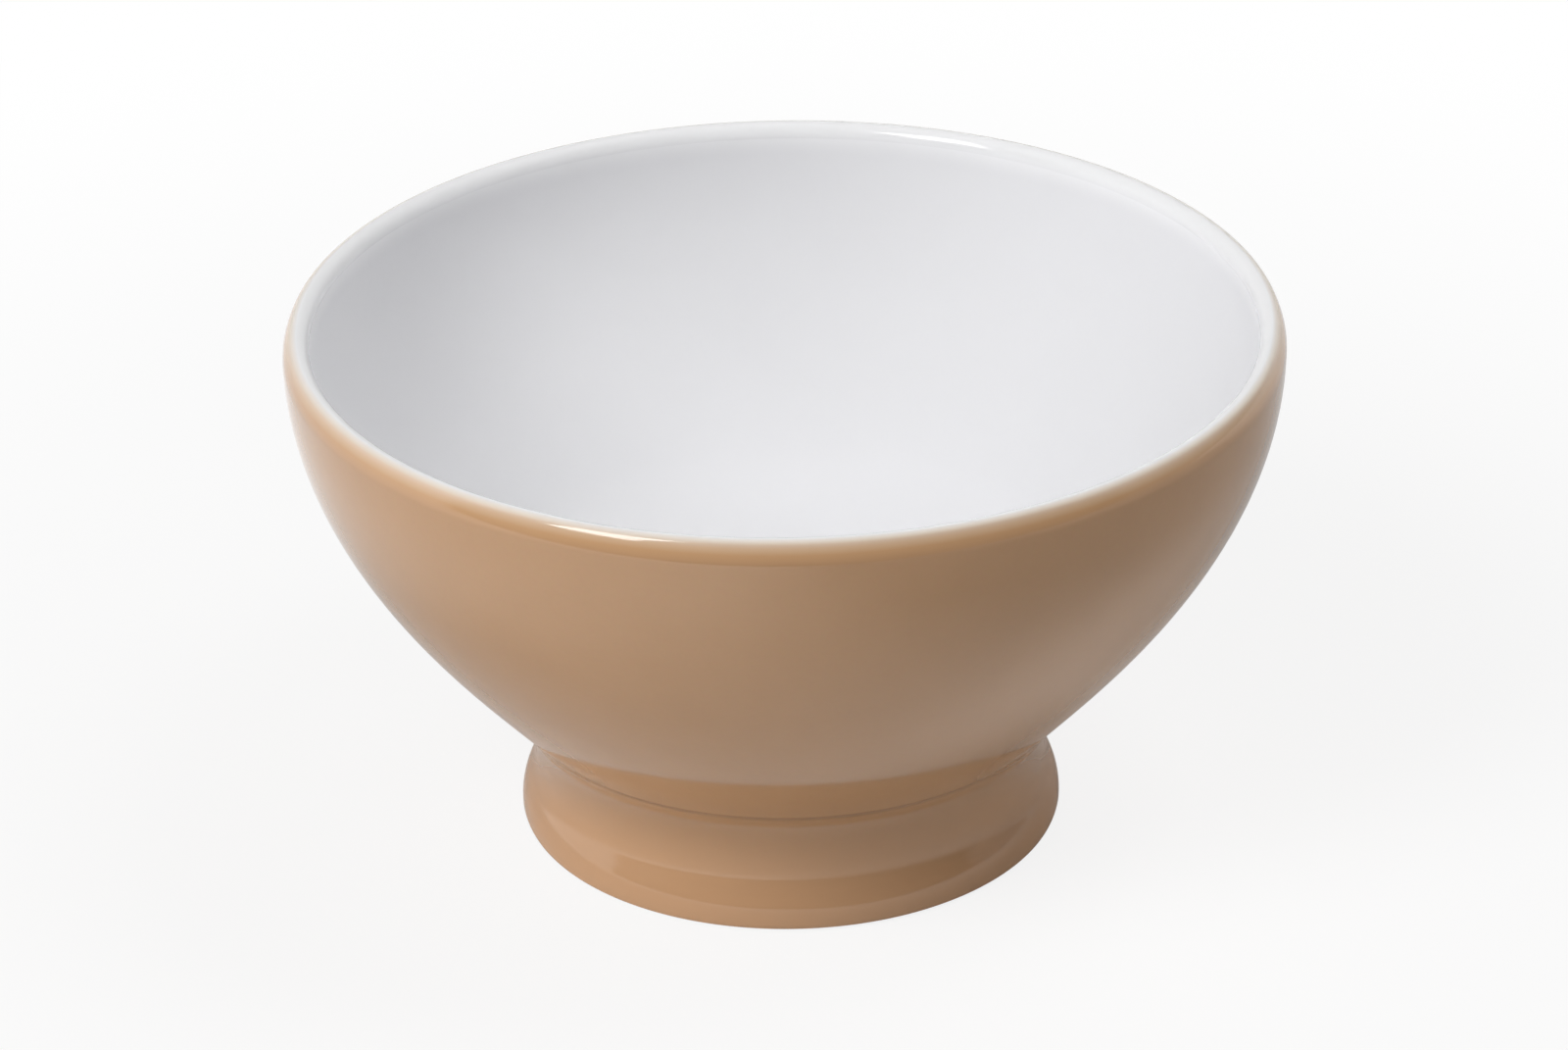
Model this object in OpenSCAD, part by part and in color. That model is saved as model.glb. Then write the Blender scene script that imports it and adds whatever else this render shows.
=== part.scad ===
// Latte bowl: a round porcelain bowl on a waisted foot, white glaze inside and tan glaze outside.
// Millimetres, +Z up, origin at the centre of the standing ring on the table.
// Every outline is half of a section through the axis, written as [radius, height] points.

/* [Bowl] */
// Widest outside diameter of the bowl, over the glaze
bowl_d = 140; // [110:1:180]
// Height of the rim above the table
height = 77; // [60:0.5:110]
// Drop from the rim to the widest line of the outside
belly_drop = 3.6; // [3:0.1:8]
// Wall thickness at the widest line, over both glazes
rim_wall = 3.75; // [3.3:0.05:4.5]
// Wall thickness just above the foot, over both glazes
base_wall = 5; // [3.5:0.1:7]
// Thickness of the bowl's floor, with its glaze
floor_t = 5.4; // [4:0.1:9]
// Diameter of the flat middle of the floor inside
floor_d = 36; // [20:1:56]
// Fullness of the outside just under its widest line, as a share of the wall's height
belly_fullness = 0.45; // [0.3:0.01:0.6]
// Fullness of the outside just above the foot, as a share of the wall's overhang
hip_fullness = 0.43; // [0.2:0.01:0.6]
// Share of the wall, from the widest line down, where the inside turns towards the floor
turn_share = 0.7; // [0.5:0.01:0.9]
// Fullness of the turn from the wall into the floor inside
turn_fullness = 0.62; // [0.4:0.01:0.8]

/* [Lip] */
// Radius of the lip's crest
lip_r = 1.3; // [0.8:0.05:1.45]
// Distance of the crest's middle inside the widest line
crest_in = 1.95; // [1.6:0.05:2.4]
// Place on the crest where the wider roll into the bowl begins, in degrees up from the outside
inner_roll_a = 100; // [90:1:115]
// Place on the crest where the two glazes meet, in degrees up from the outside
glaze_line_a = 58; // [50:1:85]

/* [Foot] */
// Widest diameter of the foot, over the glaze
foot_d = 78; // [64:0.5:96]
// Height of the foot's widest line above the table
edge_h = 1.1; // [0.8:0.05:2]
// Depth of the waist inside the foot's widest line
waist_in = 2.15; // [0.8:0.05:5]
// Height of the waist above the table
waist_h = 9.5; // [6:0.1:13]
// Reach of the seam beyond the waist
flare_out = 3.45; // [1.5:0.05:7]
// Height of the seam between bowl and foot
seam_h = 19; // [16:0.1:28]
// Share of the curve below the waist that bulges, the rest being hollow
bulge_share = 0.52; // [0.3:0.01:0.7]
// Thickness of the foot's clay at the waist, with its glaze
foot_wall = 3.6; // [2.5:0.1:7]
// Radius of the inner edge of the standing ring
inner_edge_r = 1; // [0.4:0.1:1.5]
// Thickness of the slip that holds the foot to the bowl
slip_t = 0.5; // [0.3:0.05:1]

/* [Glaze] */
// Thickness of every coat of glaze
glaze_t = 0.35; // [0.2:0.05:0.5]
// Height of the wiped edge that the outside glaze stops at
wiped_h = 0.45; // [0.3:0.05:0.7]
// Height where the glaze in the hollow of the foot stops
hollow_wiped_h = 2; // [1.5:0.1:4]
// Radius of the pooled glaze in the corner of the hollow
pool_r = 1.5; // [0.8:0.1:3]
// Width of the line that the glaze shows over the seam
seam_line_w = 0.6; // [0.3:0.05:1]
// Depth of that line
seam_line_t = 0.15; // [0.1:0.01:0.18]

/* [Hidden] */

// Steps of each turned curve, and of one whole turn in the drawing
wall_steps = 28;
sweep_steps = 14;
arc_steps = 10;
turn_steps = 128;

// Lip: the crest's arc, the arc that rolls up into it from the widest line and the one that rolls into the bowl
bowl_r = bowl_d / 2;
belly_h = height - belly_drop;
crest_c = [bowl_r - crest_in, height - lip_r];
crest_up = crest_c.y - belly_h;
roll_r = (crest_in ^ 2 + crest_up ^ 2 - lip_r ^ 2) / (2 * (crest_in - lip_r));
roll_c = [bowl_r - roll_r, belly_h];
roll_a = atan2(crest_up, roll_r - crest_in);
inner_roll_r = (rim_wall - crest_in + lip_r * cos(inner_roll_a)) / (1 + cos(inner_roll_a));
inner_roll_c = crest_c + (lip_r - inner_roll_r) * [cos(inner_roll_a), sin(inner_roll_a)];

// Foot: a bulging arc over the edge, a hollow arc up to the waist and one that flares to the seam
foot_r = foot_d / 2;
waist_r = foot_r - waist_in;
seam_r = waist_r + flare_out;
flare_a = 2 * atan(flare_out / (seam_h - waist_h));
flare_r = (seam_h - waist_h) / sin(flare_a);
flare_c = [waist_r + flare_r, waist_h];
lean_a = 2 * atan(waist_in / (waist_h - edge_h));
s_curve_r = (waist_h - edge_h) / sin(lean_a);
bulge_r = bulge_share * s_curve_r;
bulge_c = [foot_r - bulge_r, edge_h];
hollow_r = s_curve_r - bulge_r;
hollow_c = [waist_r + hollow_r, waist_h];
edge_c = [foot_r - glaze_t - edge_h, edge_h];
edge_glaze_r = edge_h + glaze_t;
wiped_a = asin((edge_h - wiped_h) / edge_glaze_r);
ring_in_r = waist_r - foot_wall;

// Heights of the joint's two faces and of the floor inside
foot_top_h = seam_h - slip_t;
floor_h = seam_h + floor_t;

function arc(c, r, from, to) =
    [for (i = [0 : arc_steps]) let (a = from + (to - from) * i / arc_steps) c + r * [cos(a), sin(a)]];
function curve(p, u) =
    (1 - u) ^ 3 * p[0] + 3 * (1 - u) ^ 2 * u * p[1] + 3 * (1 - u) * u ^ 2 * p[2] + u ^ 3 * p[3];
function heading(p, u) =
    (1 - u) ^ 2 * (p[1] - p[0]) + 2 * (1 - u) * u * (p[2] - p[1]) + u ^ 2 * (p[3] - p[2]);
function left_of(v) = [-v.y, v.x] / norm(v);
function reverse(list) = [for (i = [len(list) - 1 : -1 : 0]) list[i]];

// Outside of the wall, from the widest line down to the seam, which it leaves along the foot's flare
seam = [seam_r, seam_h];
along_seam = [sin(flare_a), cos(flare_a)];
out_of_seam = [cos(flare_a), -sin(flare_a)];
wall_curve = [
    [bowl_r, belly_h],
    [bowl_r, belly_h - belly_fullness * (belly_h - seam_h)],
    seam + hip_fullness * (bowl_r - seam_r) * along_seam,
    seam,
];
// A point of the wall, sunk to a depth under the outside
function wall(u, depth) = curve(wall_curve, u) - depth * left_of(heading(wall_curve, u));
function wall_t(u) = rim_wall + (base_wall - rim_wall) * u;
function wall_line(depth) = [for (i = [1 : wall_steps]) wall(i / wall_steps, depth)];

// Inside of the wall down to the turn, then the sweep into the flat of the floor
turn = wall(turn_share, wall_t(turn_share));
turn_before = wall(turn_share - 1 / wall_steps, wall_t(turn_share - 1 / wall_steps));
turn_dir = turn - turn_before;
floor_edge = [floor_d / 2, floor_h];
// Where the wall, carried straight on, would meet the floor
corner = turn + turn_dir * (floor_h - turn.y) / turn_dir.y;
sweep_curve = [
    turn,
    turn + turn_fullness * (corner - turn),
    floor_edge + turn_fullness * (corner - floor_edge),
    floor_edge,
];
function sweep(u, depth) = curve(sweep_curve, u) + depth * left_of(heading(sweep_curve, u));
// The inside's line from the crest to the axis, sunk to a depth under the liner glaze
function inside_line(depth) = concat(
    arc(crest_c, lip_r - depth, 90, inner_roll_a),
    arc(inner_roll_c, inner_roll_r - depth, inner_roll_a, 180),
    [for (i = [0 : wall_steps]) let (u = turn_share * i / wall_steps) wall(u, wall_t(u) - depth)],
    [for (i = [1 : sweep_steps]) sweep(i / sweep_steps, depth)],
    [[0, floor_h - depth]]
);

// The clay's outside under the glaze: the bowl down to the seam, and the foot down to the table
seam_clay = [seam_r - glaze_t / cos(flare_a), seam_h];
bowl_clay_line = concat(
    arc(roll_c, roll_r - glaze_t, roll_a, 0),
    wall_line(glaze_t),
    [seam_clay]
);
foot_top_a = asin((foot_top_h - waist_h) / (flare_r + glaze_t));
foot_clay_line = concat(
    arc(flare_c, flare_r + glaze_t, 180 - foot_top_a, 180),
    arc(hollow_c, hollow_r + glaze_t, 180, 180 + lean_a),
    arc(bulge_c, bulge_r - glaze_t, lean_a, 0)
);

// The tan glaze's own surface, with the fine line that it shows over the seam
line_half = seam_line_w / 2;
line_a = line_half / flare_r * 180 / PI;
outer_surface = concat(
    arc(crest_c, lip_r, glaze_line_a, roll_a),
    arc(roll_c, roll_r, roll_a, 0),
    [for (i = [1 : wall_steps - 1]) wall(i / wall_steps, 0)],
    [seam + line_half * along_seam, seam - seam_line_t * out_of_seam],
    arc(flare_c, flare_r, 180 - flare_a + line_a, 180),
    arc(hollow_c, hollow_r, 180, 180 + lean_a),
    arc(bulge_c, bulge_r, lean_a, 0),
    arc(edge_c, edge_glaze_r, 0, -wiped_a)
);

module turned(points) {
    rotate_extrude($fn = turn_steps) polygon(points);
}

// White porcelain shell of the bowl, flat underneath where the foot is stuck on
module bowl_body() {
    color("#ECE9E2") turned(concat(
        reverse(inside_line(glaze_t)),
        arc(crest_c, lip_r - glaze_t, 90, roll_a),
        bowl_clay_line,
        [[0, seam_h]]
    ));
}

// Hollow porcelain foot with its bare standing ring
module foot_ring() {
    color("#E6E1D8") turned(concat(
        foot_clay_line,
        arc(edge_c, edge_h, 0, -90),
        arc([ring_in_r + inner_edge_r, inner_edge_r], inner_edge_r, -90, -180),
        [[ring_in_r, foot_top_h]]
    ));
}

// Fired slip between the bowl's underside and the top of the foot
module slip_joint() {
    color("#D8D0C3") turned([
        [ring_in_r, foot_top_h],
        foot_clay_line[0],
        seam_clay,
        [ring_in_r, seam_h],
    ]);
}

// White glaze over the inside and the crest of the lip
module liner_glaze() {
    color("#F3F2EF") turned(concat(
        arc(crest_c, lip_r, glaze_line_a, 90),
        inside_line(0),
        reverse(inside_line(glaze_t)),
        arc(crest_c, lip_r - glaze_t, 90, glaze_line_a)
    ));
}

// Tan glaze over the outside of the bowl and the foot
module outer_glaze() {
    color("#B08C6B") turned(concat(
        outer_surface,
        arc(edge_c, edge_h, -wiped_a, 0),
        reverse(foot_clay_line),
        reverse(bowl_clay_line),
        arc(crest_c, lip_r - glaze_t, roll_a, glaze_line_a)
    ));
}

// Clear glaze over the hollow of the foot, pooled in its corner
module base_glaze() {
    color("#EFEDE8") turned(concat(
        [[0, seam_h], [ring_in_r, seam_h], [ring_in_r, hollow_wiped_h]],
        [[ring_in_r - glaze_t, hollow_wiped_h]],
        arc([ring_in_r - glaze_t - pool_r, seam_h - glaze_t - pool_r], pool_r, 0, 90),
        [[0, seam_h - glaze_t]]
    ));
}

bowl_body();
foot_ring();
slip_joint();
liner_glaze();
outer_glaze();
base_glaze();
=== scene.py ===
# Latte bowl: a turned porcelain bowl on a waisted foot, tan glaze outside and white glaze inside.
import math

import bpy
from mathutils import Matrix, Vector


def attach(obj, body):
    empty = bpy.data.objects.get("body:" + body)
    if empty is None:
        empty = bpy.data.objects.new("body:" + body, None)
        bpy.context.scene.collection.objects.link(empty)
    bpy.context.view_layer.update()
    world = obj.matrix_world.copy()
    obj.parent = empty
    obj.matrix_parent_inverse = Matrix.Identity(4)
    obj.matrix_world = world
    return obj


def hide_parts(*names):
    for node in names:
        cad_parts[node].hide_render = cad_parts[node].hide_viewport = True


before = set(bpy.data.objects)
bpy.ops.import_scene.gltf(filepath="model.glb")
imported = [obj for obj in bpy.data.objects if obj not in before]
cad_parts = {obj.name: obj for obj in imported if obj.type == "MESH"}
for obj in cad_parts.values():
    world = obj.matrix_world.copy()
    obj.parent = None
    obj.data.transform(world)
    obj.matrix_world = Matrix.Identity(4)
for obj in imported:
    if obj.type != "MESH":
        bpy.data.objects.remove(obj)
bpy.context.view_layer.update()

# Millimetres, in the bowl's own frame: +Z up, the origin at the centre of the standing ring.
MM = 0.001
TURN_STEPS = 192
MERGE_MM = 0.002
SMOOTH_ANGLE = math.radians(40)

# Bowl
BOWL_R = 70.0
RIM_H = 77.0
BELLY_DROP = 3.6
RIM_WALL = 3.75
BASE_WALL = 5.0
FLOOR_T = 5.4
FLOOR_R = 18.0
BELLY_FULLNESS = 0.45
HIP_FULLNESS = 0.43
TURN_SHARE = 0.7
TURN_FULLNESS = 0.62

# Lip
LIP_R = 1.3
CREST_IN = 1.95
INNER_ROLL_A = 100.0
GLAZE_LINE_A = 58.0

# Foot
FOOT_R = 39.0
EDGE_H = 1.1
WAIST_IN = 2.15
WAIST_H = 9.5
FLARE_OUT = 3.45
SEAM_H = 19.0
BULGE_SHARE = 0.52
FOOT_WALL = 3.6
INNER_EDGE_R = 1.0
SLIP_T = 0.5

# Glaze
GLAZE_T = 0.35
WIPED_H = 0.45
HOLLOW_WIPED_H = 2.0
POOL_R = 1.5
SEAM_LINE_W = 0.8
SEAM_LINE_T = 0.12

# Steps of the drawn curves
WALL_STEPS = 64
SWEEP_STEPS = 32
ARC_STEPS = 16
LINE_STEPS = 12


# Half sections, as points of radius and height


def arc(centre, radius, start, end):
    """Points of an arc between two angles, in degrees from the outside up."""
    angles = [math.radians(start + (end - start) * i / ARC_STEPS) for i in range(ARC_STEPS + 1)]
    return [centre + radius * Vector((math.cos(a), math.sin(a))) for a in angles]


def curve(pulls, share):
    """A point of a curve with two ends and two pulls, and its heading there."""
    a, b, c, d = pulls
    rest = 1 - share
    point = rest**3 * a + 3 * rest**2 * share * b + 3 * rest * share**2 * c + share**3 * d
    heading = rest**2 * (b - a) + 2 * rest * share * (c - b) + share**2 * (d - c)
    return point, heading.normalized()


def left_of(heading):
    """The direction at a right angle to a heading, on its left."""
    return Vector((-heading.y, heading.x))


# Lip: the crest, the roll up to it from the widest line, and the wider roll into the bowl
BELLY_H = RIM_H - BELLY_DROP
CREST = Vector((BOWL_R - CREST_IN, RIM_H - LIP_R))
CREST_UP = CREST.y - BELLY_H
ROLL_R = (CREST_IN**2 + CREST_UP**2 - LIP_R**2) / (2 * (CREST_IN - LIP_R))
ROLL = Vector((BOWL_R - ROLL_R, BELLY_H))
ROLL_A = math.degrees(math.atan2(CREST_UP, ROLL_R - CREST_IN))
INNER_COS = math.cos(math.radians(INNER_ROLL_A))
INNER_SIN = math.sin(math.radians(INNER_ROLL_A))
INNER_ROLL_R = (RIM_WALL - CREST_IN + LIP_R * INNER_COS) / (1 + INNER_COS)
INNER_ROLL = CREST + (LIP_R - INNER_ROLL_R) * Vector((INNER_COS, INNER_SIN))

# Foot: a bulge over the edge, a hollow up to the waist, and a flare up to the seam
WAIST_R = FOOT_R - WAIST_IN
SEAM = Vector((WAIST_R + FLARE_OUT, SEAM_H))
FLARE = 2 * math.atan(FLARE_OUT / (SEAM_H - WAIST_H))
FLARE_A = math.degrees(FLARE)
FLARE_R = (SEAM_H - WAIST_H) / math.sin(FLARE)
FLARE_C = Vector((WAIST_R + FLARE_R, WAIST_H))
LEAN = 2 * math.atan(WAIST_IN / (WAIST_H - EDGE_H))
LEAN_A = math.degrees(LEAN)
S_CURVE_R = (WAIST_H - EDGE_H) / math.sin(LEAN)
BULGE_R = BULGE_SHARE * S_CURVE_R
BULGE_C = Vector((FOOT_R - BULGE_R, EDGE_H))
HOLLOW_R = S_CURVE_R - BULGE_R
HOLLOW_C = Vector((WAIST_R + HOLLOW_R, WAIST_H))
EDGE_C = Vector((FOOT_R - GLAZE_T - EDGE_H, EDGE_H))
WIPED_A = math.degrees(math.asin((EDGE_H - WIPED_H) / (EDGE_H + GLAZE_T)))
RING_IN_R = WAIST_R - FOOT_WALL
FOOT_TOP_H = SEAM_H - SLIP_T
FLOOR_H = SEAM_H + FLOOR_T

# Outside of the wall, from the widest line down to the seam
ALONG_SEAM = Vector((math.sin(FLARE), math.cos(FLARE)))
OUT_OF_SEAM = Vector((math.cos(FLARE), -math.sin(FLARE)))
WALL_CURVE = [
    Vector((BOWL_R, BELLY_H)),
    Vector((BOWL_R, BELLY_H - BELLY_FULLNESS * (BELLY_H - SEAM_H))),
    SEAM + HIP_FULLNESS * (BOWL_R - SEAM.x) * ALONG_SEAM,
    SEAM,
]


def wall(share, depth):
    """A point of the wall, sunk to a depth under the outside."""
    point, heading = curve(WALL_CURVE, share)
    return point - depth * left_of(heading)


def inner_wall(share, depth):
    """A point of the wall's inside, sunk to a depth under the white glaze."""
    return wall(share, RIM_WALL + (BASE_WALL - RIM_WALL) * share - depth)


# Inside: the sweep from the wall into the flat of the floor
TURN = inner_wall(TURN_SHARE, 0)
TURN_DIR = TURN - inner_wall(TURN_SHARE - 1 / WALL_STEPS, 0)
FLOOR_EDGE = Vector((FLOOR_R, FLOOR_H))
CORNER = TURN + TURN_DIR * (FLOOR_H - TURN.y) / TURN_DIR.y
SWEEP_CURVE = [
    TURN,
    TURN + TURN_FULLNESS * (CORNER - TURN),
    FLOOR_EDGE + TURN_FULLNESS * (CORNER - FLOOR_EDGE),
    FLOOR_EDGE,
]


def sweep(share, depth):
    """A point of the sweep into the floor, sunk to a depth under the white glaze."""
    point, heading = curve(SWEEP_CURVE, share)
    return point + depth * left_of(heading)


def inside_line(depth):
    """The inside from the crest to the axis, sunk to a depth under the white glaze."""
    down = [inner_wall(TURN_SHARE * i / WALL_STEPS, depth) for i in range(WALL_STEPS + 1)]
    into_floor = [sweep(i / SWEEP_STEPS, depth) for i in range(1, SWEEP_STEPS + 1)]
    return (
        arc(CREST, LIP_R - depth, 90, INNER_ROLL_A)
        + arc(INNER_ROLL, INNER_ROLL_R - depth, INNER_ROLL_A, 180)
        + down
        + into_floor
        + [Vector((0, FLOOR_H - depth))]
    )


def seam_dip():
    """The fine groove that the glaze shows over the seam, from the wall down to the flare."""
    points = []
    for i in range(LINE_STEPS + 1):
        along = SEAM_LINE_W * (0.5 - i / LINE_STEPS)
        depth = SEAM_LINE_T * 0.5 * (1 + math.cos(2 * math.pi * along / SEAM_LINE_W))
        points.append(SEAM + along * ALONG_SEAM - depth * OUT_OF_SEAM)
    return points


SEAM_CLAY = Vector((SEAM.x - GLAZE_T / math.cos(FLARE), SEAM_H))
FOOT_TOP_A = math.degrees(math.asin((FOOT_TOP_H - WAIST_H) / (FLARE_R + GLAZE_T)))
LINE_A = math.degrees(SEAM_LINE_W / 2 / FLARE_R)
BOWL_CLAY_LINE = (
    arc(ROLL, ROLL_R - GLAZE_T, ROLL_A, 0)
    + [wall(i / WALL_STEPS, GLAZE_T) for i in range(1, WALL_STEPS + 1)]
    + [SEAM_CLAY]
)
FOOT_CLAY_LINE = (
    arc(FLARE_C, FLARE_R + GLAZE_T, 180 - FOOT_TOP_A, 180)
    + arc(HOLLOW_C, HOLLOW_R + GLAZE_T, 180, 180 + LEAN_A)
    + arc(BULGE_C, BULGE_R - GLAZE_T, LEAN_A, 0)
)
OUTER_SURFACE = (
    arc(CREST, LIP_R, GLAZE_LINE_A, ROLL_A)
    + arc(ROLL, ROLL_R, ROLL_A, 0)
    + [wall(i / WALL_STEPS, 0) for i in range(1, WALL_STEPS)]
    + seam_dip()
    + arc(FLARE_C, FLARE_R, 180 - FLARE_A + LINE_A, 180)
    + arc(HOLLOW_C, HOLLOW_R, 180, 180 + LEAN_A)
    + arc(BULGE_C, BULGE_R, LEAN_A, 0)
    + arc(EDGE_C, EDGE_H + GLAZE_T, 0, -WIPED_A)
)


# Turning a half section into a piece


def without_repeats(outline):
    """The outline without points that lie on the one before them, so that no edge has no length."""
    kept = [outline[0]]
    for point in outline[1:]:
        if (point - kept[-1]).length > MERGE_MM:
            kept.append(point)
    if (kept[0] - kept[-1]).length <= MERGE_MM:
        kept.pop()
    return kept


def turned(name, outline):
    """Draws a half section by extruding one point along it, closes it, and spins it round the axis."""
    points = [Vector((p.x, 0, p.y)) * MM for p in without_repeats(outline)]
    bpy.ops.object.select_all(action="DESELECT")
    bpy.ops.mesh.primitive_plane_add(size=MM, location=points[0])
    piece = bpy.context.object
    piece.name = name
    piece.data.name = name
    bpy.ops.object.transform_apply(location=True, rotation=True, scale=True)
    bpy.ops.object.mode_set(mode="EDIT")
    bpy.ops.mesh.select_mode(type="VERT")
    bpy.ops.mesh.select_all(action="SELECT")
    bpy.ops.mesh.merge(type="CENTER")
    for here, there in zip(points, points[1:]):
        bpy.ops.mesh.extrude_region_move(TRANSFORM_OT_translate={"value": there - here})
    bpy.ops.mesh.select_all(action="DESELECT")
    bpy.ops.object.mode_set(mode="OBJECT")
    piece.data.vertices[0].select = True
    piece.data.vertices[-1].select = True
    bpy.ops.object.mode_set(mode="EDIT")
    bpy.ops.mesh.edge_face_add()
    bpy.ops.mesh.select_all(action="SELECT")
    bpy.ops.mesh.spin(steps=TURN_STEPS, angle=2 * math.pi, center=(0, 0, 0), axis=(0, 0, 1))
    bpy.ops.mesh.select_all(action="SELECT")
    bpy.ops.mesh.remove_doubles(threshold=MERGE_MM * MM / 2)
    bpy.ops.mesh.dissolve_degenerate(threshold=MERGE_MM * MM / 2)
    bpy.ops.mesh.select_all(action="SELECT")
    bpy.ops.mesh.normals_make_consistent(inside=False)
    bpy.ops.object.mode_set(mode="OBJECT")
    bpy.ops.object.shade_smooth_by_angle(angle=SMOOTH_ANGLE)
    return piece


# Materials

# Sockets of a Mix node that mixes colours: its share, the two colours, and the mixed colour
MIX_SHARE = 0
MIX_FIRST = 6
MIX_SECOND = 7
MIX_COLOUR = 2


def linear(code):
    """An sRGB hex colour as linear red, green, blue and full alpha."""
    parts = [int(code[i : i + 2], 16) / 255 for i in (1, 3, 5)]
    return [c / 12.92 if c <= 0.04045 else ((c + 0.055) / 1.055) ** 2.4 for c in parts] + [1]


def add_node(tree, kind, inputs=None, **settings):
    """Adds a node with its settings, and sets or links its inputs by name or number."""
    made = tree.nodes.new(kind)
    for setting, value in settings.items():
        setattr(made, setting, value)
    for socket, value in (inputs or {}).items():
        if isinstance(value, bpy.types.NodeSocket):
            tree.links.new(value, made.inputs[socket])
        else:
            made.inputs[socket].default_value = value
    return made


def new_material(name):
    """An empty material, its node tree and its output."""
    material = bpy.data.materials.new(name)
    material.use_nodes = True
    tree = material.node_tree
    tree.nodes.clear()
    return material, tree, add_node(tree, "ShaderNodeOutputMaterial")


# How much finer noise lies in soft waves, in clouds of colour and in the grain of clay
WAVE_DETAIL = 1.0
CLOUD_DETAIL = 2.0
CLAY_DETAIL = 4.0


def waves_per_metre(size_mm):
    """Noise scale at which one patch is about this many millimetres wide."""
    return 1 / (size_mm * MM)


def patchy_tone(tree, place, patch_mm, detail, dark, light):
    """A colour that drifts between two tones in patches of a real size, and the patches themselves."""
    patches = add_node(
        tree,
        "ShaderNodeTexNoise",
        {"Vector": place, "Scale": waves_per_metre(patch_mm), "Detail": detail},
    ).outputs[0]
    tone = add_node(
        tree,
        "ShaderNodeMix",
        {MIX_SHARE: patches, MIX_FIRST: linear(dark), MIX_SECOND: linear(light)},
        data_type="RGBA",
    )
    return tone.outputs[MIX_COLOUR], patches


def distance_from_axis(tree, place):
    """How far a spot lies from the axis that the bowl was turned about."""
    flat = add_node(tree, "ShaderNodeVectorMath", {0: place, 1: (1, 1, 0)}, operation="MULTIPLY")
    radius = add_node(tree, "ShaderNodeVectorMath", {0: flat.outputs[0]}, operation="LENGTH")
    return radius.outputs["Value"]


# Every glaze: a glass, with faint waves that are wide and shallow
GLAZE_IOR = 1.5
PEEL_MM = 2.2
PEEL_DEPTH_MM = 0.02
PEEL_STRENGTH = 0.04


def orange_peel(tree, place):
    """The faint waves that a glaze keeps from its melt; gives the normal to shade with."""
    waves = add_node(
        tree,
        "ShaderNodeTexNoise",
        {"Vector": place, "Scale": waves_per_metre(PEEL_MM), "Detail": WAVE_DETAIL},
    )
    bump = add_node(
        tree,
        "ShaderNodeBump",
        {"Height": waves.outputs[0], "Strength": PEEL_STRENGTH, "Distance": PEEL_DEPTH_MM * MM},
    )
    return bump.outputs[0]


# Tan glaze: its colour, its slow clouds, and its grain, which is drawn coarser than real so that it shows
TAN_GLAZE = "#B8906A"
TAN_DARK = "#B58D67"
TAN_LIGHT = "#BB936D"
TAN_CLOUD_MM = 11.0
TAN_GRAIN_MM = 0.9
TAN_GRAIN_ROUGHNESS = 0.6
TAN_GRAIN_SHARE = 0.05
TAN_ROUGHNESS = 0.08
TAN_COAT = 0.3
# The line over the seam, partly the joint's own darker tone and partly painted shade of its crease, and how
# far it darkens the tan
SEAM_JOINT_AND_SHADE_TAN = "#86623F"
SEAM_JOINT_AND_SHADE_SHARE = 0.5
# Painted light: the tan is made lighter towards the edge of the foot, where more light reaches under the
# bowl, between these heights
FOOT_PAINTED_LIGHT_TAN = "#C89E78"
FOOT_PAINTED_LIGHT_TOP_H = 16.0
FOOT_PAINTED_LIGHT_FOOT_H = 7.0
# Where the tan coat begins to thin under the rim, and its colours at shares of the climb from there
FADE_FOOT_H = 73.6
FADE_STOPS = [(0.2, "#C09771"), (0.5, "#C99F76"), (0.74, "#D6B595"), (0.86, "#DDC4AB")]
# The last of the tan, where the two coats meet, at its share of the climb
LAST_TAN = "#E6D9CA"
LAST_TAN_SHARE = 0.94


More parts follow.
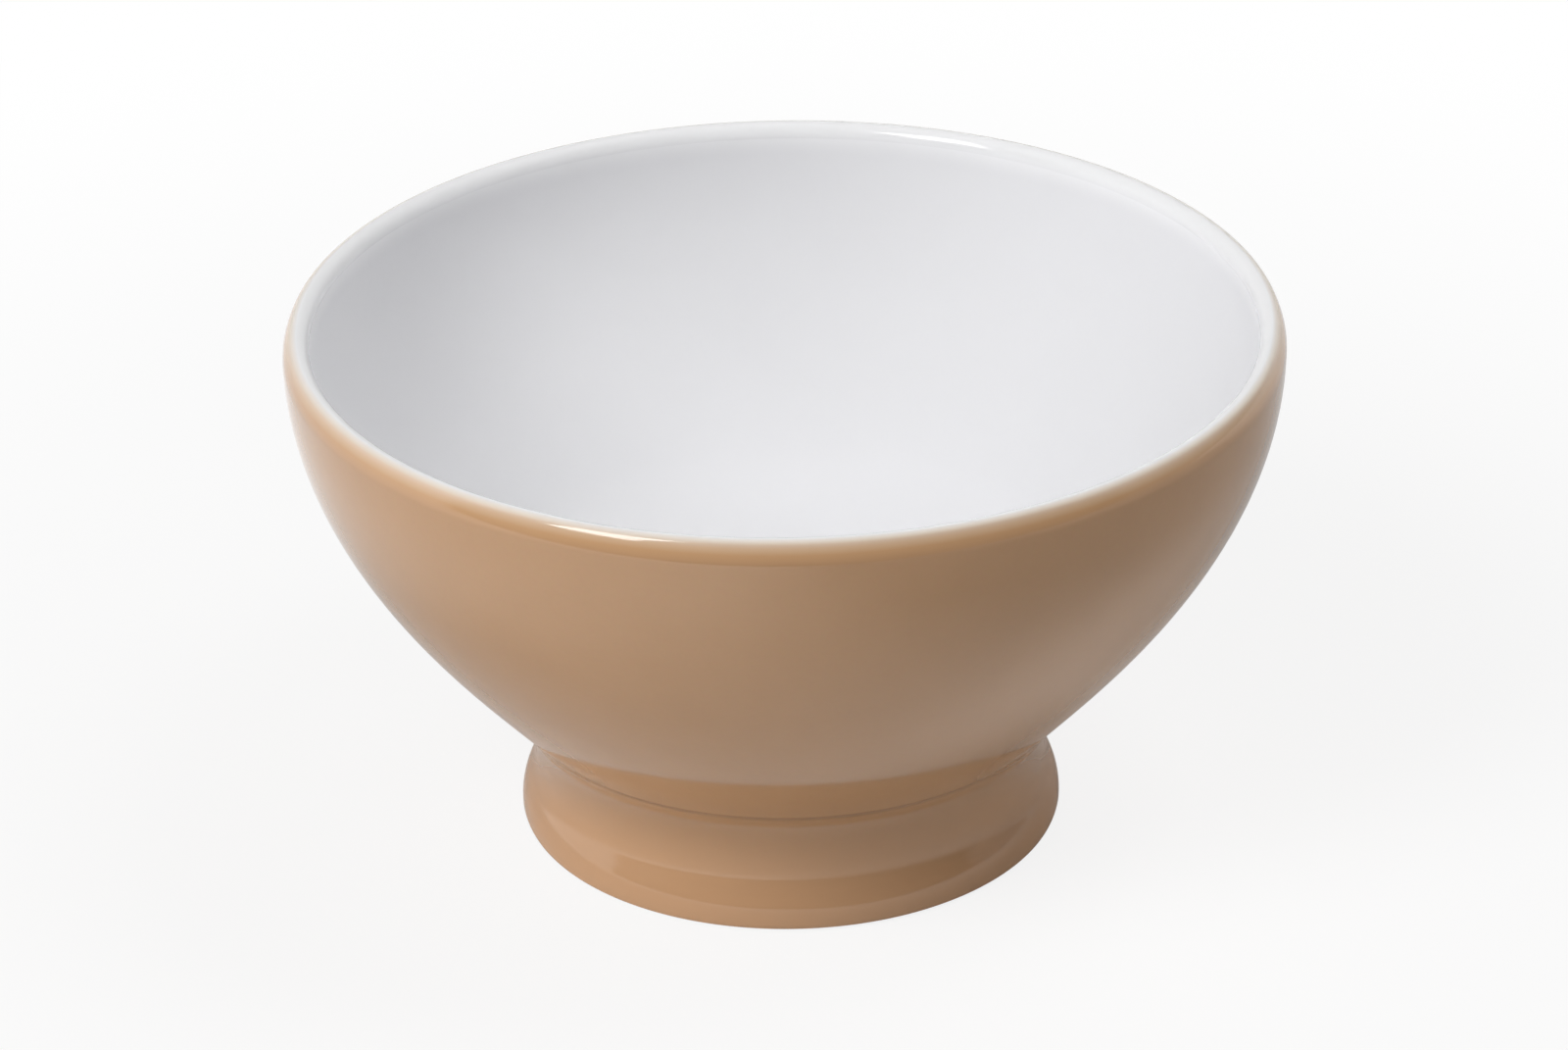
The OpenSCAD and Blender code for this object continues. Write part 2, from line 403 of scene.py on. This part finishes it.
def tan_dipped_glaze():
    """Opaque tan glaze, dipped and fired glossy: an even colour that thins to white over the lip."""
    material, tree, out = new_material("tan_dipped_glaze")
    place = add_node(tree, "ShaderNodeTexCoord").outputs["Object"]
    height = add_node(tree, "ShaderNodeSeparateXYZ", {0: place}).outputs["Z"]
    # Slow clouds where the coat is a little thicker or thinner, and the fine grain of the melt
    tone, _ = patchy_tone(tree, place, TAN_CLOUD_MM, CLOUD_DETAIL, TAN_DARK, TAN_LIGHT)
    grain = add_node(
        tree,
        "ShaderNodeTexNoise",
        {
            "Vector": place,
            "Scale": waves_per_metre(TAN_GRAIN_MM),
            "Detail": CLOUD_DETAIL,
            "Roughness": TAN_GRAIN_ROUGHNESS,
        },
    )
    grainy = add_node(
        tree,
        "ShaderNodeMix",
        {MIX_SHARE: TAN_GRAIN_SHARE, MIX_FIRST: tone, MIX_SECOND: grain.outputs[1]},
        data_type="RGBA",
        blend_type="SOFT_LIGHT",
    )
    # The seam under the coat shows as a thin darker line, partly its own tone and partly painted shade of the
    # crease
    from_seam = add_node(tree, "ShaderNodeMath", {0: height, 1: SEAM_H * MM}, operation="SUBTRACT")
    off_seam = add_node(tree, "ShaderNodeMath", {0: from_seam.outputs[0]}, operation="ABSOLUTE")
    line = add_node(
        tree,
        "ShaderNodeMapRange",
        {
            "Value": off_seam.outputs[0],
            "From Min": SEAM_LINE_W * MM,
            "From Max": 0.0,
            "To Max": SEAM_JOINT_AND_SHADE_SHARE,
        },
        interpolation_type="SMOOTHSTEP",
    )
    seam_joint_and_shade = add_node(
        tree,
        "ShaderNodeMix",
        {
            MIX_SHARE: line.outputs[0],
            MIX_FIRST: grainy.outputs[MIX_COLOUR],
            MIX_SECOND: linear(SEAM_JOINT_AND_SHADE_TAN),
        },
        data_type="RGBA",
    )
    # Painted light: the tan is lighter towards the edge of the foot, where more light reaches under the bowl
    low = add_node(
        tree,
        "ShaderNodeMapRange",
        {"Value": height, "From Min": FOOT_PAINTED_LIGHT_TOP_H * MM, "From Max": FOOT_PAINTED_LIGHT_FOOT_H * MM},
        interpolation_type="SMOOTHSTEP",
    )
    foot_painted_light = add_node(
        tree,
        "ShaderNodeMix",
        {
            MIX_SHARE: low.outputs[0],
            MIX_FIRST: seam_joint_and_shade.outputs[MIX_COLOUR],
            MIX_SECOND: linear(FOOT_PAINTED_LIGHT_TAN),
        },
        data_type="RGBA",
    )
    # It also thins over the lip and lets the white under it through
    climb = add_node(
        tree,
        "ShaderNodeMapRange",
        {"Value": height, "From Min": FADE_FOOT_H * MM, "From Max": RIM_H * MM},
    ).outputs[0]
    fade = add_node(tree, "ShaderNodeValToRGB", {0: climb})
    stops = fade.color_ramp.elements
    stops[0].color = linear(TAN_GLAZE)
    stops[1].color = linear(LAST_TAN)
    stops[1].position = LAST_TAN_SHARE
    for rise, tan in FADE_STOPS:
        stops.new(rise).color = linear(tan)
    first_rise = FADE_STOPS[0][0]
    begun = add_node(tree, "ShaderNodeMapRange", {"Value": climb, "From Max": first_rise})
    faded = add_node(
        tree,
        "ShaderNodeMix",
        {
            MIX_SHARE: begun.outputs[0],
            MIX_FIRST: foot_painted_light.outputs[MIX_COLOUR],
            MIX_SECOND: fade.outputs[0],
        },
        data_type="RGBA",
    )
    shader = add_node(
        tree,
        "ShaderNodeBsdfPrincipled",
        {
            "Base Color": faded.outputs[MIX_COLOUR],
            "Roughness": TAN_ROUGHNESS,
            "IOR": GLAZE_IOR,
            "Coat Weight": TAN_COAT,
            "Coat Roughness": TAN_ROUGHNESS,
            "Normal": orange_peel(tree, place),
        },
    )
    tree.links.new(shader.outputs[0], out.inputs[0])
    return material


# White glaze: the two tones that its slow clouds drift between
WHITE_DARK = "#EFEFF1"
WHITE_LIGHT = "#F1F1F3"
WHITE_CLOUD_MM = 14.0
# Painted light: it is made lighter over the lip, which faces up into the light; and it is glossiest at the
# crest, between these heights
LIP_PAINTED_LIGHT_WHITE = "#FBFBFC"
LIP_PAINTED_LIGHT_FOOT_H = RIM_H - 5.0
LIP_PAINTED_LIGHT_TOP_H = RIM_H - 1.0
INSIDE_ROUGHNESS = 0.65
LIP_ROUGHNESS = 0.1
GLOSS_FOOT_H = RIM_H - 3.6
GLOSS_TOP_H = RIM_H - 1.2
# The last of the tan tints it from the line where the two coats meet to a little past the crest
GLAZE_LINE_R = CREST.x + LIP_R * math.cos(math.radians(GLAZE_LINE_A))
TINT_END_R = CREST.x - 0.1


def white_liner_glaze():
    """White glaze poured inside: soft gloss in the bowl, and wet-looking over the lip."""
    material, tree, out = new_material("white_liner_glaze")
    place = add_node(tree, "ShaderNodeTexCoord").outputs["Object"]
    height = add_node(tree, "ShaderNodeSeparateXYZ", {0: place}).outputs["Z"]
    tone, _ = patchy_tone(tree, place, WHITE_CLOUD_MM, CLOUD_DETAIL, WHITE_DARK, WHITE_LIGHT)
    # Painted light: the white is lightened towards the lip, which faces up into the light
    lip_painted_light_share = add_node(
        tree,
        "ShaderNodeMapRange",
        {"Value": height, "From Min": LIP_PAINTED_LIGHT_FOOT_H * MM, "From Max": LIP_PAINTED_LIGHT_TOP_H * MM},
        interpolation_type="SMOOTHSTEP",
    )
    lip_lightened = add_node(
        tree,
        "ShaderNodeMix",
        {MIX_SHARE: lip_painted_light_share.outputs[0], MIX_FIRST: tone, MIX_SECOND: linear(LIP_PAINTED_LIGHT_WHITE)},
        data_type="RGBA",
    )
    # The tan coat ends on the outer side of the crest and warms the white as far as the inner side
    overlap = add_node(
        tree,
        "ShaderNodeMapRange",
        {
            "Value": distance_from_axis(tree, place),
            "From Min": TINT_END_R * MM,
            "From Max": GLAZE_LINE_R * MM,
        },
    )
    warmed = add_node(
        tree,
        "ShaderNodeMix",
        {
            MIX_SHARE: overlap.outputs[0],
            MIX_FIRST: lip_lightened.outputs[MIX_COLOUR],
            MIX_SECOND: linear(LAST_TAN),
        },
        data_type="RGBA",
    )
    gloss = add_node(
        tree,
        "ShaderNodeMapRange",
        {
            "Value": height,
            "From Min": GLOSS_FOOT_H * MM,
            "From Max": GLOSS_TOP_H * MM,
            "To Min": INSIDE_ROUGHNESS,
            "To Max": LIP_ROUGHNESS,
        },
        interpolation_type="SMOOTHSTEP",
    )
    shader = add_node(
        tree,
        "ShaderNodeBsdfPrincipled",
        {
            "Base Color": warmed.outputs[MIX_COLOUR],
            "Roughness": gloss.outputs[0],
            "IOR": GLAZE_IOR,
            "Normal": orange_peel(tree, place),
        },
    )
    tree.links.new(shader.outputs[0], out.inputs[0])
    return material


# Bare clay: its grain, which is drawn coarser than real so that it shows
CLAY_GRAIN_MM = 0.6
CLAY_GRAIN_DEPTH_MM = 0.03
CLAY_GRAIN_STRENGTH = 0.3


def fired_clay(name, dark, light, roughness):
    """Unglazed clay, fired dry: fine grain in its colour and a dull, slightly rough skin."""
    material, tree, out = new_material(name)
    place = add_node(tree, "ShaderNodeTexCoord").outputs["Object"]
    tone, grain = patchy_tone(tree, place, CLAY_GRAIN_MM, CLAY_DETAIL, dark, light)
    bump = add_node(
        tree,
        "ShaderNodeBump",
        {"Height": grain, "Strength": CLAY_GRAIN_STRENGTH, "Distance": CLAY_GRAIN_DEPTH_MM * MM},
    )
    shader = add_node(
        tree,
        "ShaderNodeBsdfPrincipled",
        {"Base Color": tone, "Roughness": roughness, "Normal": bump.outputs[0]},
    )
    tree.links.new(shader.outputs[0], out.inputs[0])
    return material


# Clear glaze: the clay's tones through it, and the tint where it pooled in the corner of the hollow
CLEAR_DARK = "#E6E2D8"
CLEAR_LIGHT = "#EBE8E0"
CLEAR_CLOUD_MM = 9.0
CLEAR_ROUGHNESS = 0.1
POOL_TINT = "#D6D6C8"
POOL_REACH = 5.0


def clear_hollow_glaze():
    """Clear glaze over white porcelain: the clay's off-white, wet gloss, and a faint tint where it pooled."""
    material, tree, out = new_material("clear_hollow_glaze")
    place = add_node(tree, "ShaderNodeTexCoord").outputs["Object"]
    height = add_node(tree, "ShaderNodeSeparateXYZ", {0: place}).outputs["Z"]
    near_wall = add_node(
        tree,
        "ShaderNodeMapRange",
        {
            "Value": distance_from_axis(tree, place),
            "From Min": (RING_IN_R - POOL_REACH) * MM,
            "From Max": (RING_IN_R - GLAZE_T) * MM,
        },
    )
    pooled = add_node(
        tree,
        "ShaderNodeMapRange",
        {
            "Value": height,
            "From Min": (SEAM_H - POOL_REACH) * MM,
            "From Max": SEAM_H * MM,
            "To Max": near_wall.outputs[0],
        },
    )
    tone, _ = patchy_tone(tree, place, CLEAR_CLOUD_MM, CLOUD_DETAIL, CLEAR_DARK, CLEAR_LIGHT)
    tinted = add_node(
        tree,
        "ShaderNodeMix",
        {MIX_SHARE: pooled.outputs[0], MIX_FIRST: tone, MIX_SECOND: linear(POOL_TINT)},
        data_type="RGBA",
    )
    shader = add_node(
        tree,
        "ShaderNodeBsdfPrincipled",
        {
            "Base Color": tinted.outputs[MIX_COLOUR],
            "Roughness": CLEAR_ROUGHNESS,
            "IOR": GLAZE_IOR,
            "Normal": orange_peel(tree, place),
        },
    )
    tree.links.new(shader.outputs[0], out.inputs[0])
    return material


# Pieces


def finish_piece(piece, node, material):
    """Gives a piece its material and lets it stand for its CAD node."""
    piece.data.materials.append(material)
    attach(piece, "root")
    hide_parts(node)


porcelain = fired_clay("bisque_porcelain", dark="#DAD3C6", light="#E8E3D9", roughness=0.75)
fired_slip = fired_clay("fired_slip", dark="#C9BEAC", light="#D8D0C3", roughness=0.9)
tan_glaze = tan_dipped_glaze()
white_glaze = white_liner_glaze()
clear_glaze = clear_hollow_glaze()

bowl_shell = turned(
    "bowl_shell",
    inside_line(GLAZE_T)[::-1]
    + arc(CREST, LIP_R - GLAZE_T, 90, ROLL_A)
    + BOWL_CLAY_LINE
    + [Vector((0, SEAM_H))],
)
finish_piece(bowl_shell, "bowl_body", porcelain)

foot = turned(
    "waisted_foot",
    FOOT_CLAY_LINE
    + arc(EDGE_C, EDGE_H, 0, -90)
    + arc(Vector((RING_IN_R + INNER_EDGE_R, INNER_EDGE_R)), INNER_EDGE_R, -90, -180)
    + [Vector((RING_IN_R, FOOT_TOP_H))],
)
finish_piece(foot, "foot_ring", porcelain)

slip = turned(
    "slip_layer",
    [Vector((RING_IN_R, FOOT_TOP_H)), FOOT_CLAY_LINE[0], SEAM_CLAY, Vector((RING_IN_R, SEAM_H))],
)
finish_piece(slip, "slip_joint", fired_slip)

liner = turned(
    "white_liner_coat",
    arc(CREST, LIP_R, GLAZE_LINE_A, 90)
    + inside_line(0)
    + inside_line(GLAZE_T)[::-1]
    + arc(CREST, LIP_R - GLAZE_T, 90, GLAZE_LINE_A),
)
finish_piece(liner, "liner_glaze", white_glaze)

coat = turned(
    "tan_outer_coat",
    OUTER_SURFACE
    + arc(EDGE_C, EDGE_H, -WIPED_A, 0)
    + FOOT_CLAY_LINE[::-1]
    + BOWL_CLAY_LINE[::-1]
    + arc(CREST, LIP_R - GLAZE_T, ROLL_A, GLAZE_LINE_A),
)
finish_piece(coat, "outer_glaze", tan_glaze)

POOL_C = Vector((RING_IN_R - GLAZE_T - POOL_R, SEAM_H - GLAZE_T - POOL_R))
hollow_coat = turned(
    "hollow_glaze_coat",
    [Vector((0, SEAM_H)), Vector((RING_IN_R, SEAM_H)), Vector((RING_IN_R, HOLLOW_WIPED_H))]
    + [Vector((RING_IN_R - GLAZE_T, HOLLOW_WIPED_H))]
    + arc(POOL_C, POOL_R, 0, 90)
    + [Vector((0, SEAM_H - GLAZE_T))],
)
finish_piece(hollow_coat, "base_glaze", clear_glaze)


# Floor

WHITE = "#FFFFFF"
PAPER = "#F2F2F2"
# Share of plain white in the floor as the camera sees it near the bowl; the rest is lit and shaded
SEEN_WHITE = 0.85
# From the first of these distances it grows, to nothing but white at the second
SHADOW_R = 100.0
PURE_WHITE_R = 320.0
# The glaze mirrors the shaded floor close to the bowl, and from these distances outwards a painted white glow
# in place of the paper
SHADE_R = 72.0
WHITE_R = 150.0
# That glow is white on the key's side and darker on the other, a painted shadow, between these places across
LIT_SIDE_X = -50.0
DIM_SIDE_X = 70.0
PAINTED_SHADOW_LEVEL = 0.45
# Behind the bowl that painted shadow is lighter again, from the first of these places to the second
DIM_SIDE_Y = 60.0
BACK_SIDE_Y = 200.0
PAINTED_SHADOW_BACK_LEVEL = 0.8


def one_sided(tree, shader, out):
    """Shows a shader from above and lets the eye through from underneath."""
    face = add_node(tree, "ShaderNodeNewGeometry")
    clear = add_node(tree, "ShaderNodeBsdfTransparent")
    mixed = add_node(
        tree,
        "ShaderNodeMixShader",
        {0: face.outputs["Backfacing"], 1: shader.outputs[0], 2: clear.outputs[0]},
    )
    tree.links.new(mixed.outputs[0], out.inputs[0])


def white_studio_floor():
    """Matt white paper floor that shows white, keeps the bowl's shadow, and is clear from underneath; past
    the shaded paper the glaze sees a painted glow with a painted shadow.
    """
    material, tree, out = new_material("white_studio_floor")
    place = add_node(tree, "ShaderNodeTexCoord").outputs["Object"]
    distance = add_node(tree, "ShaderNodeVectorMath", {0: place}, operation="LENGTH").outputs["Value"]
    spot = add_node(tree, "ShaderNodeSeparateXYZ", {0: place})
    path = add_node(tree, "ShaderNodeLightPath")
    # As the camera sees it: lit paper near the bowl, and plain white further out
    matt = add_node(tree, "ShaderNodeBsdfDiffuse", {"Color": linear(PAPER)})
    glow = add_node(tree, "ShaderNodeEmission", {"Color": linear(WHITE), "Strength": 1.0})
    seen = add_node(
        tree,
        "ShaderNodeMath",
        {0: path.outputs["Is Camera Ray"], 1: path.outputs["Is Transmission Ray"]},
        operation="ADD",
    )
    white_share = add_node(
        tree,
        "ShaderNodeMapRange",
        {
            "Value": distance,
            "From Min": SHADOW_R * MM,
            "From Max": PURE_WHITE_R * MM,
            "To Min": SEEN_WHITE,
        },
        interpolation_type="SMOOTHSTEP",
    )
    seen_share = add_node(
        tree,
        "ShaderNodeMath",
        {0: seen.outputs[0], 1: white_share.outputs[0]},
        operation="MULTIPLY",
    )
    shown = add_node(
        tree,
        "ShaderNodeMixShader",
        {0: seen_share.outputs[0], 1: matt.outputs[0], 2: glow.outputs[0]},
    )
    # As the glaze mirrors it: the lit paper near the bowl, and a painted white glow further out, with a
    # painted shadow on the side away from the key
    ring = add_node(
        tree,
        "ShaderNodeMapRange",
        {"Value": distance, "From Min": SHADE_R * MM, "From Max": WHITE_R * MM},
        interpolation_type="SMOOTHSTEP",
    )
    painted_shadow_level_here = add_node(
        tree,
        "ShaderNodeMapRange",
        {
            "Value": spot.outputs["Y"],
            "From Min": DIM_SIDE_Y * MM,
            "From Max": BACK_SIDE_Y * MM,
            "To Min": PAINTED_SHADOW_LEVEL,
            "To Max": PAINTED_SHADOW_BACK_LEVEL,
        },
        interpolation_type="SMOOTHSTEP",
    )
    side = add_node(
        tree,
        "ShaderNodeMapRange",
        {
            "Value": spot.outputs["X"],
            "From Min": LIT_SIDE_X * MM,
            "From Max": DIM_SIDE_X * MM,
            "To Min": 1.0,
            "To Max": painted_shadow_level_here.outputs[0],
        },
        interpolation_type="SMOOTHSTEP",
    )
    painted_glow_in_glaze = add_node(
        tree,
        "ShaderNodeEmission",
        {"Color": linear(WHITE), "Strength": side.outputs[0]},
    )
    mirrored_share = add_node(
        tree,
        "ShaderNodeMath",
        {0: path.outputs["Is Glossy Ray"], 1: ring.outputs[0]},
        operation="MULTIPLY",
    )
    paper = add_node(
        tree,
        "ShaderNodeMixShader",
        {0: mirrored_share.outputs[0], 1: shown.outputs[0], 2: painted_glow_in_glaze.outputs[0]},
    )
    one_sided(tree, paper, out)
    return material


FLOOR_GAP_MM = 0.05
# In metres: the side of a floor sheet, and how far a table would reach in front of the bowl
FLOOR_SIDE = 6.0
TABLE_FRONT = 0.33


def floor_sheet(name, middle_y, paper, mirrored):
    """A square of the floor, centred at a place in front of or behind the bowl."""
    bpy.ops.object.select_all(action="DESELECT")
    bpy.ops.mesh.primitive_plane_add(size=FLOOR_SIDE, location=(0, middle_y, -FLOOR_GAP_MM * MM))
    sheet = bpy.context.object
    sheet.name = name
    bpy.ops.object.transform_apply(location=True, rotation=True, scale=True)
    sheet.data.materials.append(paper)
    sheet.visible_glossy = mirrored


# The glaze mirrors the floor as far as a table would reach in front of the bowl, and the dark room past it
floor_paper = white_studio_floor()
floor_sheet("studio_floor", FLOOR_SIDE / 2 - TABLE_FRONT, floor_paper, mirrored=True)
floor_sheet("studio_floor_front", -FLOOR_SIDE / 2 - TABLE_FRONT, floor_paper, mirrored=False)


UNDER_LIGHT_R = 37.4
UNDER_LIGHT_GAP_MM = 0.02
UNDER_LIGHT_WHITE = 0.9


def under_foot_light():
    """A disc of white light under the foot: it shows the hollow from below, where the floor shuts it off."""
    material, tree, out = new_material("under_foot_light")
    glow = add_node(
        tree,
        "ShaderNodeEmission",
        {"Color": linear(WHITE), "Strength": UNDER_LIGHT_WHITE},
    )
    one_sided(tree, glow, out)
    bpy.ops.object.select_all(action="DESELECT")
    bpy.ops.mesh.primitive_circle_add(
        vertices=TURN_STEPS,
        radius=UNDER_LIGHT_R * MM,
        fill_type="NGON",
        location=(0, 0, -UNDER_LIGHT_GAP_MM * MM),
    )
    light_disc = bpy.context.object
    light_disc.name = "under_foot_light"
    bpy.ops.object.transform_apply(location=True, rotation=True, scale=True)
    light_disc.data.materials.append(material)


under_foot_light()


# Light

BOWL_MIDDLE = Vector((0, 0, RIM_H / 2 * MM))


def lamp(name, place, width, height, power, mirrored=False):
    """A soft box that faces the bowl from its place, and shows in the glaze where it is mirrored."""
    bpy.ops.object.select_all(action="DESELECT")
    bpy.ops.object.light_add(type="AREA", location=place)
    made = bpy.context.object
    made.name = name
    made.data.shape = "RECTANGLE"
    made.data.size = width
    made.data.size_y = height
    made.data.energy = power
    away = Vector(place) - BOWL_MIDDLE
    made.rotation_euler = away.to_track_quat("Z", "Y").to_euler()
    made.visible_camera = False
    made.visible_glossy = mirrored


# Places and sizes in metres, about an arm's length and a half from the bowl; only the key shows in the glaze
lamp("key_soft_box", place=(-0.62, -0.64, 0.84), width=0.40, height=0.58, power=6.7, mirrored=True)
lamp("left_fill", place=(-1.11, -0.37, 0.29), width=0.8, height=0.5, power=3.9)
lamp("front_fill", place=(-0.37, -0.64, 0.98), width=0.5, height=0.5, power=1.5)
lamp("right_fill", place=(1.02, 0.0, 0.67), width=0.5, height=0.5, power=1.7)
lamp("right_bounce", place=(1.0, 0.45, 0.13), width=0.8, height=0.4, power=1.5)
lamp("overhead_bank", place=(0.48, 0.0, 1.14), width=0.5, height=0.5, power=3.5)
lamp("back_fill", place=(0.37, 0.64, 0.98), width=0.5, height=0.5, power=1.2)


# The white walls begin beside the bowl, where a direction's share towards the back passes these values
DARK_SIDE_Y = -0.26
WHITE_SIDE_Y = -0.16
DARK_ROOM = 0.02
# The wall on the right is dimmer, where a direction's share to the right passes these values
LIT_WALL_X = 0.5
DIM_WALL_X = 0.9
DIM_WALL = 0.3


def white_surround():
    """Plain white behind the bowl, and in its glaze white walls with a dark room on the camera's side."""
    world = bpy.data.worlds.new("white_surround")
    bpy.context.scene.world = world
    world.use_nodes = True
    tree = world.node_tree
    tree.nodes.clear()
    out = add_node(tree, "ShaderNodeOutputWorld")
    way = add_node(tree, "ShaderNodeTexCoord").outputs["Generated"]
    shares = add_node(tree, "ShaderNodeSeparateXYZ", {0: way})
    side = add_node(
        tree,
        "ShaderNodeMapRange",
        {
            "Value": shares.outputs["X"],
            "From Min": LIT_WALL_X,
            "From Max": DIM_WALL_X,
            "To Min": 1.0,
            "To Max": DIM_WALL,
        },
        interpolation_type="SMOOTHSTEP",
    )
    walls = add_node(
        tree,
        "ShaderNodeMapRange",
        {
            "Value": shares.outputs["Y"],
            "From Min": DARK_SIDE_Y,
            "From Max": WHITE_SIDE_Y,
            "To Min": DARK_ROOM,
            "To Max": side.outputs[0],
        },
        interpolation_type="SMOOTHSTEP",
    )
    path = add_node(tree, "ShaderNodeLightPath")
    mirrored = add_node(
        tree,
        "ShaderNodeMath",
        {0: path.outputs["Is Glossy Ray"], 1: path.outputs["Is Transmission Ray"]},
        operation="ADD",
    )
    strength = add_node(
        tree,
        "ShaderNodeMath",
        {0: walls.outputs[0], 1: mirrored.outputs[0], 2: path.outputs["Is Camera Ray"]},
        operation="MULTIPLY_ADD",
    )
    shade = add_node(
        tree,
        "ShaderNodeBackground",
        {"Color": linear(WHITE), "Strength": strength.outputs[0]},
    )
    tree.links.new(shade.outputs[0], out.inputs[0])


white_surround()


# Camera, at the photograph's angle: pitch down, a slight roll, and a long lens

CAMERA_AT = Vector((0, -708.4, 409.7))
PITCH_DOWN = 27.314
ROLL_RIGHT = 0.835
LENS = 128.72
SENSOR_WIDTH = 36
FRAME_WIDTH_PX = 1600
OFF_CENTRE_PX = 3.2

bpy.ops.object.camera_add()
camera = bpy.context.object
camera.name = "photo_camera"
camera.matrix_world = (
    Matrix.Translation(CAMERA_AT * MM)
    @ Matrix.Rotation(math.radians(90 - PITCH_DOWN), 4, "X")
    @ Matrix.Rotation(math.radians(-ROLL_RIGHT), 4, "Z")
)
camera.data.lens = LENS
camera.data.sensor_width = SENSOR_WIDTH
camera.data.shift_x = -OFF_CENTRE_PX / FRAME_WIDTH_PX
bpy.context.scene.camera = camera
bpy.context.scene.view_settings.view_transform = "Standard"
